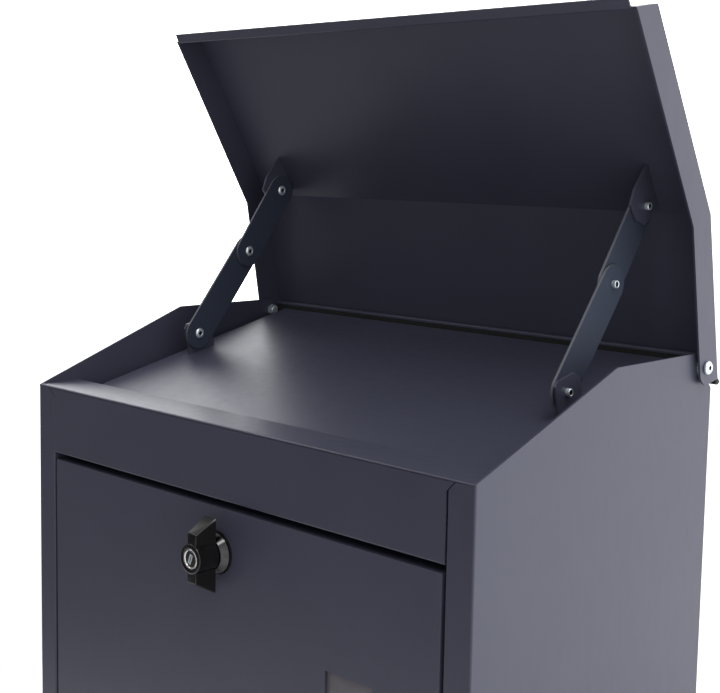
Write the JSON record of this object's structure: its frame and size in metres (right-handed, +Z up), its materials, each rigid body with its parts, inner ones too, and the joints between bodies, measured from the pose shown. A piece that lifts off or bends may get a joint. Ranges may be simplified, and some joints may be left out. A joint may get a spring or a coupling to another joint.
{
  "type": "parcel drop box",
  "caption": "Sheet-steel parcel drop box with a sloped hinged lid, an inner flap hung on folding stays, and a drop-down front door with a knob lock and viewing window.",
  "frame": {"origin": "centre of the base's underside", "axes": "+Z up, -Y is the front with the door, +X is to the right as seen from the front"},
  "size_m": [0.4534, 0.2965, 0.8094],
  "materials": {
    "powder_coat": "fine satin powder coat, anthracite",
    "zinc": "bright zinc plate",
    "chrome": "satin chrome",
    "knob_black": "semi-gloss black",
    "rubber": "matt black",
    "pane": "smoked acrylic"
  },
  "bodies": {
    "frame": {"left_side_panel": "powder_coat", "right_side_panel": "powder_coat", "back_panel": "powder_coat", "base_panel": "powder_coat", "front_rail": "powder_coat", "front_sill": "powder_coat", "rear_seal": "rubber", "back_rivets": "zinc", "wall_spacers": "rubber", "flap_bracket_left": "powder_coat", "flap_bracket_right": "powder_coat", "flap_rod": "zinc", "hinge_screw_left": "zinc", "hinge_screw_right": "zinc", "hinge_nut_left": "zinc", "hinge_nut_right": "zinc", "hinge_spacer_left": "zinc", "hinge_spacer_right": "zinc", "door_pin_left": "zinc", "door_pin_right": "zinc"},
    "lid": {"lid_panel": "powder_coat", "lid_edge_strip": "rubber", "lid_bracket_left": "powder_coat", "lid_bracket_right": "powder_coat", "lid_rivet_left": "zinc", "lid_rivet_right": "zinc"},
    "flap": {"flap_plate": "powder_coat", "flap_lug_left": "powder_coat", "flap_lug_right": "powder_coat", "flap_rivet_left": "zinc", "flap_rivet_right": "zinc"},
    "upper_stay_left": {"upper_link_left": "powder_coat", "knee_rivet_left": "zinc"},
    "upper_stay_right": {"upper_link_right": "powder_coat", "knee_rivet_right": "zinc"},
    "lower_stay_left": {"lower_link_left": "powder_coat", "knee_tail_left": "zinc"},
    "lower_stay_right": {"lower_link_right": "powder_coat", "knee_tail_right": "zinc"},
    "door": {"door_panel": "powder_coat", "window_pane": "pane", "window_tape": "rubber", "lock_body": "chrome", "lock_washer": "knob_black", "lock_nut": "zinc"},
    "knob_and_cam": {"knob": "knob_black", "cam": "zinc", "cam_screw": "zinc"},
    "plug": {"key_plug": "chrome"}
  },
  "joints": [
    {"name": "lid_hinge", "type": "hinge", "parent": "frame", "child": "lid", "pos_m": [0, 0.115, 0.57], "axis": [1, 0, 0], "range_deg": [0, 80]},
    {"name": "flap_hinge", "type": "hinge", "parent": "frame", "child": "flap", "pos_m": [0, -0.102, 0.519], "axis": [1, 0, 0], "range_deg": [-60, 0]},
    {"name": "upper_pivot_left", "type": "hinge", "parent": "lid", "child": "upper_stay_left", "pos_m": [-0.185, 0.0915, 0.67968], "axis": [1, 0, 0], "range_deg": [-7.5, 0]},
    {"name": "upper_pivot_right", "type": "hinge", "parent": "lid", "child": "upper_stay_right", "pos_m": [0.185, 0.0915, 0.67968], "axis": [1, 0, 0], "range_deg": [-7.5, 0]},
    {"name": "lower_pivot_left", "type": "hinge", "parent": "flap", "child": "lower_stay_left", "pos_m": [-0.185, 0.00199, 0.56104], "axis": [1, 0, 0], "range_deg": [0, 58.2]},
    {"name": "lower_pivot_right", "type": "hinge", "parent": "flap", "child": "lower_stay_right", "pos_m": [0.185, 0.00199, 0.56104], "axis": [1, 0, 0], "range_deg": [0, 58.2]},
    {"name": "door_hinge", "type": "hinge", "parent": "frame", "child": "door", "pos_m": [0, -0.122, 0.046], "axis": [1, 0, 0], "range_deg": [0, 90]},
    {"name": "knob_turn", "type": "hinge", "parent": "door", "child": "knob_and_cam", "pos_m": [-0.002, -0.13, 0.44], "axis": [0, 1, 0], "range_deg": [0, 90]},
    {"name": "key_turn", "type": "hinge", "parent": "knob_and_cam", "child": "plug", "pos_m": [-0.002, -0.148, 0.44], "axis": [0, 1, 0], "range_deg": [0, 90]}
  ],
  "couplings": [
    {"joint": "flap_hinge", "follows": "lid_hinge", "ratio": -0.75},
    {"joint": "upper_pivot_left", "follows": "lid_hinge", "ratio": -0.09287},
    {"joint": "upper_pivot_right", "follows": "lid_hinge", "ratio": -0.09287},
    {"joint": "lower_pivot_left", "follows": "lid_hinge", "ratio": 0.726},
    {"joint": "lower_pivot_right", "follows": "lid_hinge", "ratio": 0.726}
  ]
}
